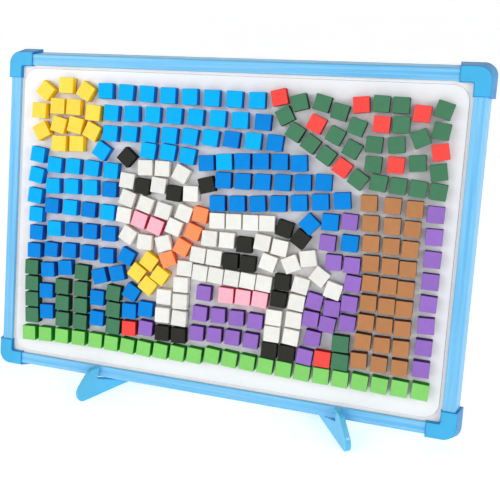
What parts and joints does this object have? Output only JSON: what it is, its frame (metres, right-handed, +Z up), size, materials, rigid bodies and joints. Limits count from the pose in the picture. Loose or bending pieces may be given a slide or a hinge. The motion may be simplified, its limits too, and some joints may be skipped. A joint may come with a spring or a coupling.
{
  "type": "magnetic foam mosaic board",
  "caption": "Framed steel board leaning on two slotted blade feet, with square magnet-backed foam pieces laid out as a picture that lift off and can be laid again.",
  "frame": {"origin": "middle of the bounding box on the floor plane, under the leaning board", "axes": "+Z up, -Y towards the front of the board, +X along the board's width to the viewer's right"},
  "size_m": [0.3294, 0.0964, 0.2301],
  "materials": {
    "rail_blue": "satin",
    "cap_blue": "satin",
    "foot_blue": "satin",
    "connector_grey": "matte",
    "panel_core_white": "satin",
    "steel_sheet_white": "gloss",
    "back_sheet_white": "satin",
    "magnet_dark": "matte",
    "foam_sun_yellow": "matte",
    "foam_light_blue": "matte",
    "foam_deep_blue": "matte",
    "foam_red": "matte",
    "foam_dark_green": "matte",
    "foam_brown": "matte",
    "foam_violet": "matte",
    "foam_grass_green": "matte",
    "foam_black": "matte",
    "foam_white": "matte",
    "foam_pink": "matte",
    "foam_orange": "matte"
  },
  "bodies": {
    "board": {"bottom_rail": "rail_blue", "right_rail": "rail_blue", "top_rail": "rail_blue", "left_rail": "rail_blue", "corner_connector_bottom_left": "connector_grey", "corner_connector_bottom_right": "connector_grey", "corner_connector_top_right": "connector_grey", "corner_connector_top_left": "connector_grey", "corner_cap_bottom_left": "cap_blue", "corner_cap_bottom_right": "cap_blue", "corner_cap_top_right": "cap_blue", "corner_cap_top_left": "cap_blue", "panel_core": "panel_core_white", "back_sheet": "back_sheet_white", "steel_sheet": "steel_sheet_white"},
    "left_foot_body": {"left_foot": "foot_blue"},
    "right_foot_body": {"right_foot": "foot_blue"},
    "sun_pieces": {"sun_foam": "foam_sun_yellow", "sun_magnets": "magnet_dark"},
    "light_sky_pieces": {"light_sky_foam": "foam_light_blue", "light_sky_magnets": "magnet_dark"},
    "dark_sky_pieces": {"dark_sky_foam": "foam_deep_blue", "dark_sky_magnets": "magnet_dark"},
    "apple_pieces": {"apple_foam": "foam_red", "apple_magnets": "magnet_dark"},
    "foliage_pieces": {"foliage_foam": "foam_dark_green", "foliage_magnets": "magnet_dark"},
    "trunk_pieces": {"trunk_foam": "foam_brown", "trunk_magnets": "magnet_dark"},
    "bush_pieces": {"bush_foam": "foam_dark_green", "bush_magnets": "magnet_dark"},
    "flower_pieces": {"flower_foam": "foam_red", "flower_magnets": "magnet_dark"},
    "hill_pieces": {"hill_foam": "foam_violet", "hill_magnets": "magnet_dark"},
    "grass_pieces": {"grass_foam": "foam_grass_green", "grass_magnets": "magnet_dark"},
    "cow_ear_and_eye_pieces": {"cow_ear_and_eye_foam": "foam_black", "cow_ear_and_eye_magnets": "magnet_dark"},
    "cow_spot_pieces": {"cow_spot_foam": "foam_black", "cow_spot_magnets": "magnet_dark"},
    "cow_hoof_pieces": {"cow_hoof_foam": "foam_black", "cow_hoof_magnets": "magnet_dark"},
    "cow_head_pieces": {"cow_head_foam": "foam_white", "cow_head_magnets": "magnet_dark"},
    "cow_body_pieces": {"cow_body_foam": "foam_white", "cow_body_magnets": "magnet_dark"},
    "cow_nose_pieces": {"cow_nose_foam": "foam_pink", "cow_nose_magnets": "magnet_dark"},
    "cow_udder_pieces": {"cow_udder_foam": "foam_pink", "cow_udder_magnets": "magnet_dark"},
    "cow_collar_pieces": {"cow_collar_foam": "foam_orange", "cow_collar_magnets": "magnet_dark"},
    "cow_bell_pieces": {"cow_bell_foam": "foam_sun_yellow", "cow_bell_magnets": "magnet_dark"}
  },
  "joints": [
    {"name": "left_foot_twist", "type": "hinge", "parent": "board", "child": "left_foot_body", "pos_m": [-0.0755, -0.02496, 0.0137], "axis": [0, 0, 1], "range_deg": [0, 69]},
    {"name": "right_foot_twist", "type": "hinge", "parent": "board", "child": "right_foot_body", "pos_m": [0.0837, -0.02496, 0.0137], "axis": [0, 0, 1], "range_deg": [-69, 0]},
    {"name": "sun_lift_off", "type": "slide", "parent": "board", "child": "sun_pieces", "axis": [0, -0.9563, 0.2924], "range_m": [0, 0.025]},
    {"name": "light_sky_lift_off", "type": "slide", "parent": "board", "child": "light_sky_pieces", "axis": [0, -0.9563, 0.2924], "range_m": [0, 0.025]},
    {"name": "dark_sky_lift_off", "type": "slide", "parent": "board", "child": "dark_sky_pieces", "axis": [0, -0.9563, 0.2924], "range_m": [0, 0.025]},
    {"name": "apple_lift_off", "type": "slide", "parent": "board", "child": "apple_pieces", "axis": [0, -0.9563, 0.2924], "range_m": [0, 0.025]},
    {"name": "foliage_lift_off", "type": "slide", "parent": "board", "child": "foliage_pieces", "axis": [0, -0.9563, 0.2924], "range_m": [0, 0.025]},
    {"name": "trunk_lift_off", "type": "slide", "parent": "board", "child": "trunk_pieces", "axis": [0, -0.9563, 0.2924], "range_m": [0, 0.025]},
    {"name": "bush_lift_off", "type": "slide", "parent": "board", "child": "bush_pieces", "axis": [0, -0.9563, 0.2924], "range_m": [0, 0.025]},
    {"name": "flower_lift_off", "type": "slide", "parent": "board", "child": "flower_pieces", "axis": [0, -0.9563, 0.2924], "range_m": [0, 0.025]},
    {"name": "hill_lift_off", "type": "slide", "parent": "board", "child": "hill_pieces", "axis": [0, -0.9563, 0.2924], "range_m": [0, 0.025]},
    {"name": "grass_lift_off", "type": "slide", "parent": "board", "child": "grass_pieces", "axis": [0, -0.9563, 0.2924], "range_m": [0, 0.025]},
    {"name": "cow_ear_and_eye_lift_off", "type": "slide", "parent": "board", "child": "cow_ear_and_eye_pieces", "axis": [0, -0.9563, 0.2924], "range_m": [0, 0.025]},
    {"name": "cow_spot_lift_off", "type": "slide", "parent": "board", "child": "cow_spot_pieces", "axis": [0, -0.9563, 0.2924], "range_m": [0, 0.025]},
    {"name": "cow_hoof_lift_off", "type": "slide", "parent": "board", "child": "cow_hoof_pieces", "axis": [0, -0.9563, 0.2924], "range_m": [0, 0.025]},
    {"name": "cow_head_lift_off", "type": "slide", "parent": "board", "child": "cow_head_pieces", "axis": [0, -0.9563, 0.2924], "range_m": [0, 0.025]},
    {"name": "cow_body_lift_off", "type": "slide", "parent": "board", "child": "cow_body_pieces", "axis": [0, -0.9563, 0.2924], "range_m": [0, 0.025]},
    {"name": "cow_nose_lift_off", "type": "slide", "parent": "board", "child": "cow_nose_pieces", "axis": [0, -0.9563, 0.2924], "range_m": [0, 0.025]},
    {"name": "cow_udder_lift_off", "type": "slide", "parent": "board", "child": "cow_udder_pieces", "axis": [0, -0.9563, 0.2924], "range_m": [0, 0.025]},
    {"name": "cow_collar_lift_off", "type": "slide", "parent": "board", "child": "cow_collar_pieces", "axis": [0, -0.9563, 0.2924], "range_m": [0, 0.025]},
    {"name": "cow_bell_lift_off", "type": "slide", "parent": "board", "child": "cow_bell_pieces", "axis": [0, -0.9563, 0.2924], "range_m": [0, 0.025]}
  ]
}
